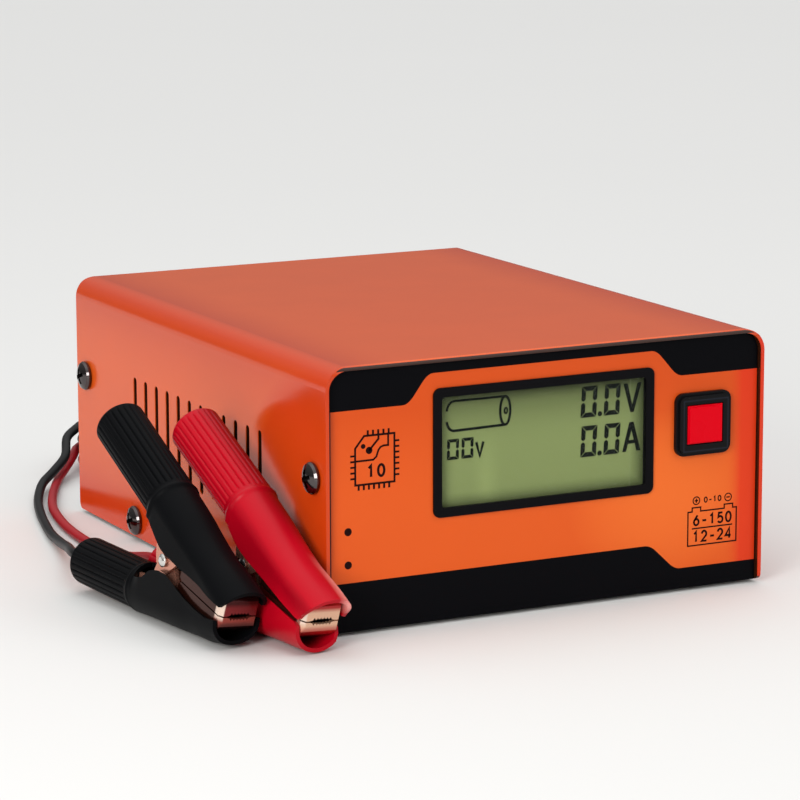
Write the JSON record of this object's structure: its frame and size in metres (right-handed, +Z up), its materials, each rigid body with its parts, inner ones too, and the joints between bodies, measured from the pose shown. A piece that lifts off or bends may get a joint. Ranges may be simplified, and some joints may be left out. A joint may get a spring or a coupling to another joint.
{
  "type": "battery charger",
  "caption": "Steel-cased bench battery charger with a front display, a latching button, a rear fan and spring clamps on leads.",
  "frame": {"origin": "middle of the box on the surface that it stands on", "axes": "+X to the box's right as its front is faced, +Y from the front panel to the rear, +Z up"},
  "size_m": [0.1748, 0.2589, 0.071],
  "materials": {
    "zinc_steel": "satin",
    "rubber": "matt",
    "orange_paint": "smooth semi-gloss",
    "dark_nickel": "black nickel plate",
    "front_print": "printed film",
    "gloss_black": "gloss",
    "clear_window": "clear plastic",
    "lcd": "unlit reflective display",
    "circuit_board": "solder mask",
    "bright_nickel": "nickel plate",
    "black_plastic": "moulded",
    "red_key": "gloss",
    "brass": "turned",
    "ferrite": "ground",
    "winding_tape": "polyester tape",
    "capacitor_sleeve": "shrunk sleeve",
    "copper_wire": "enamelled wire",
    "fuse_glass": "clear",
    "heatsink": "extruded",
    "terminal_green": "moulded",
    "copper_plate": "copper plate",
    "spring_steel": "drawn wire",
    "black_sleeve": "soft vinyl",
    "red_sleeve": "soft vinyl",
    "black_lead": "flexible vinyl",
    "red_lead": "flexible vinyl"
  },
  "bodies": {
    "charger": {"chassis": "zinc_steel", "rear_panel": "zinc_steel", "rubber_feet": "rubber", "cover": "orange_paint", "cover_screws": "dark_nickel", "front_film": "front_print", "lcd_bezel": "gloss_black", "lcd_window": "clear_window", "lcd_panel": "lcd", "display_board": "circuit_board", "display_screws": "bright_nickel", "key_housing": "black_plastic", "main_board": "circuit_board", "board_standoffs": "brass", "board_screws": "bright_nickel", "transformer_core": "ferrite", "transformer_winding": "winding_tape", "input_capacitor": "capacitor_sleeve", "output_capacitors": "capacitor_sleeve", "line_choke": "copper_wire", "fuse": "fuse_glass", "fuse_clips": "bright_nickel", "primary_heatsink": "heatsink", "secondary_heatsink": "heatsink", "power_transistors": "black_plastic", "output_rectifiers": "black_plastic", "output_terminals": "terminal_green", "fan_frame": "black_plastic", "fan_guard": "bright_nickel", "fan_screws": "dark_nickel", "mains_inlet": "black_plastic", "inlet_pins": "bright_nickel", "lead_grommet": "rubber", "black_lead_root": "black_lead", "black_lead_coil": "black_lead", "black_lead": "black_lead", "red_lead_root": "red_lead", "red_lead_coil": "red_lead", "red_lead": "red_lead", "coil_tie": "black_plastic", "black_lower_jaw": "copper_plate", "black_rivet": "bright_nickel", "black_spring": "spring_steel", "black_lower_sleeve": "black_sleeve", "red_lower_jaw": "copper_plate", "red_rivet": "bright_nickel", "red_spring": "spring_steel", "red_lower_sleeve": "red_sleeve"},
    "black_clamp_upper": {"black_upper_jaw": "copper_plate", "black_upper_sleeve": "black_sleeve"},
    "red_clamp_upper": {"red_upper_jaw": "copper_plate", "red_upper_sleeve": "red_sleeve"},
    "key": {"key_button": "red_key"},
    "rotor": {"fan_rotor": "black_plastic"}
  },
  "joints": [
    {"name": "black_clamp_hinge", "type": "hinge", "parent": "charger", "child": "black_clamp_upper", "pos_m": [-0.09288, -0.05375, 0.01774], "axis": [-0.9876, -0.1182, 0.1029], "range_deg": [0, 30], "stiffness_Nm_per_rad": 0.25, "springref_deg": -14.32},
    {"name": "red_clamp_hinge", "type": "hinge", "parent": "charger", "child": "red_clamp_upper", "pos_m": [-0.0764, -0.06765, 0.01774], "axis": [-0.9893, -0.1188, 0.0844], "range_deg": [0, 30], "stiffness_Nm_per_rad": 0.25, "springref_deg": -14.32},
    {"name": "key_press", "type": "slide", "parent": "charger", "child": "key", "axis": [0, 1, 0], "range_m": [0, 0.0024], "stiffness_N_per_m": 300},
    {"name": "fan_spin", "type": "hinge", "parent": "charger", "child": "rotor", "pos_m": [0.03, 0.072, 0.036], "axis": [0, 1, 0], "continuous": true}
  ]
}
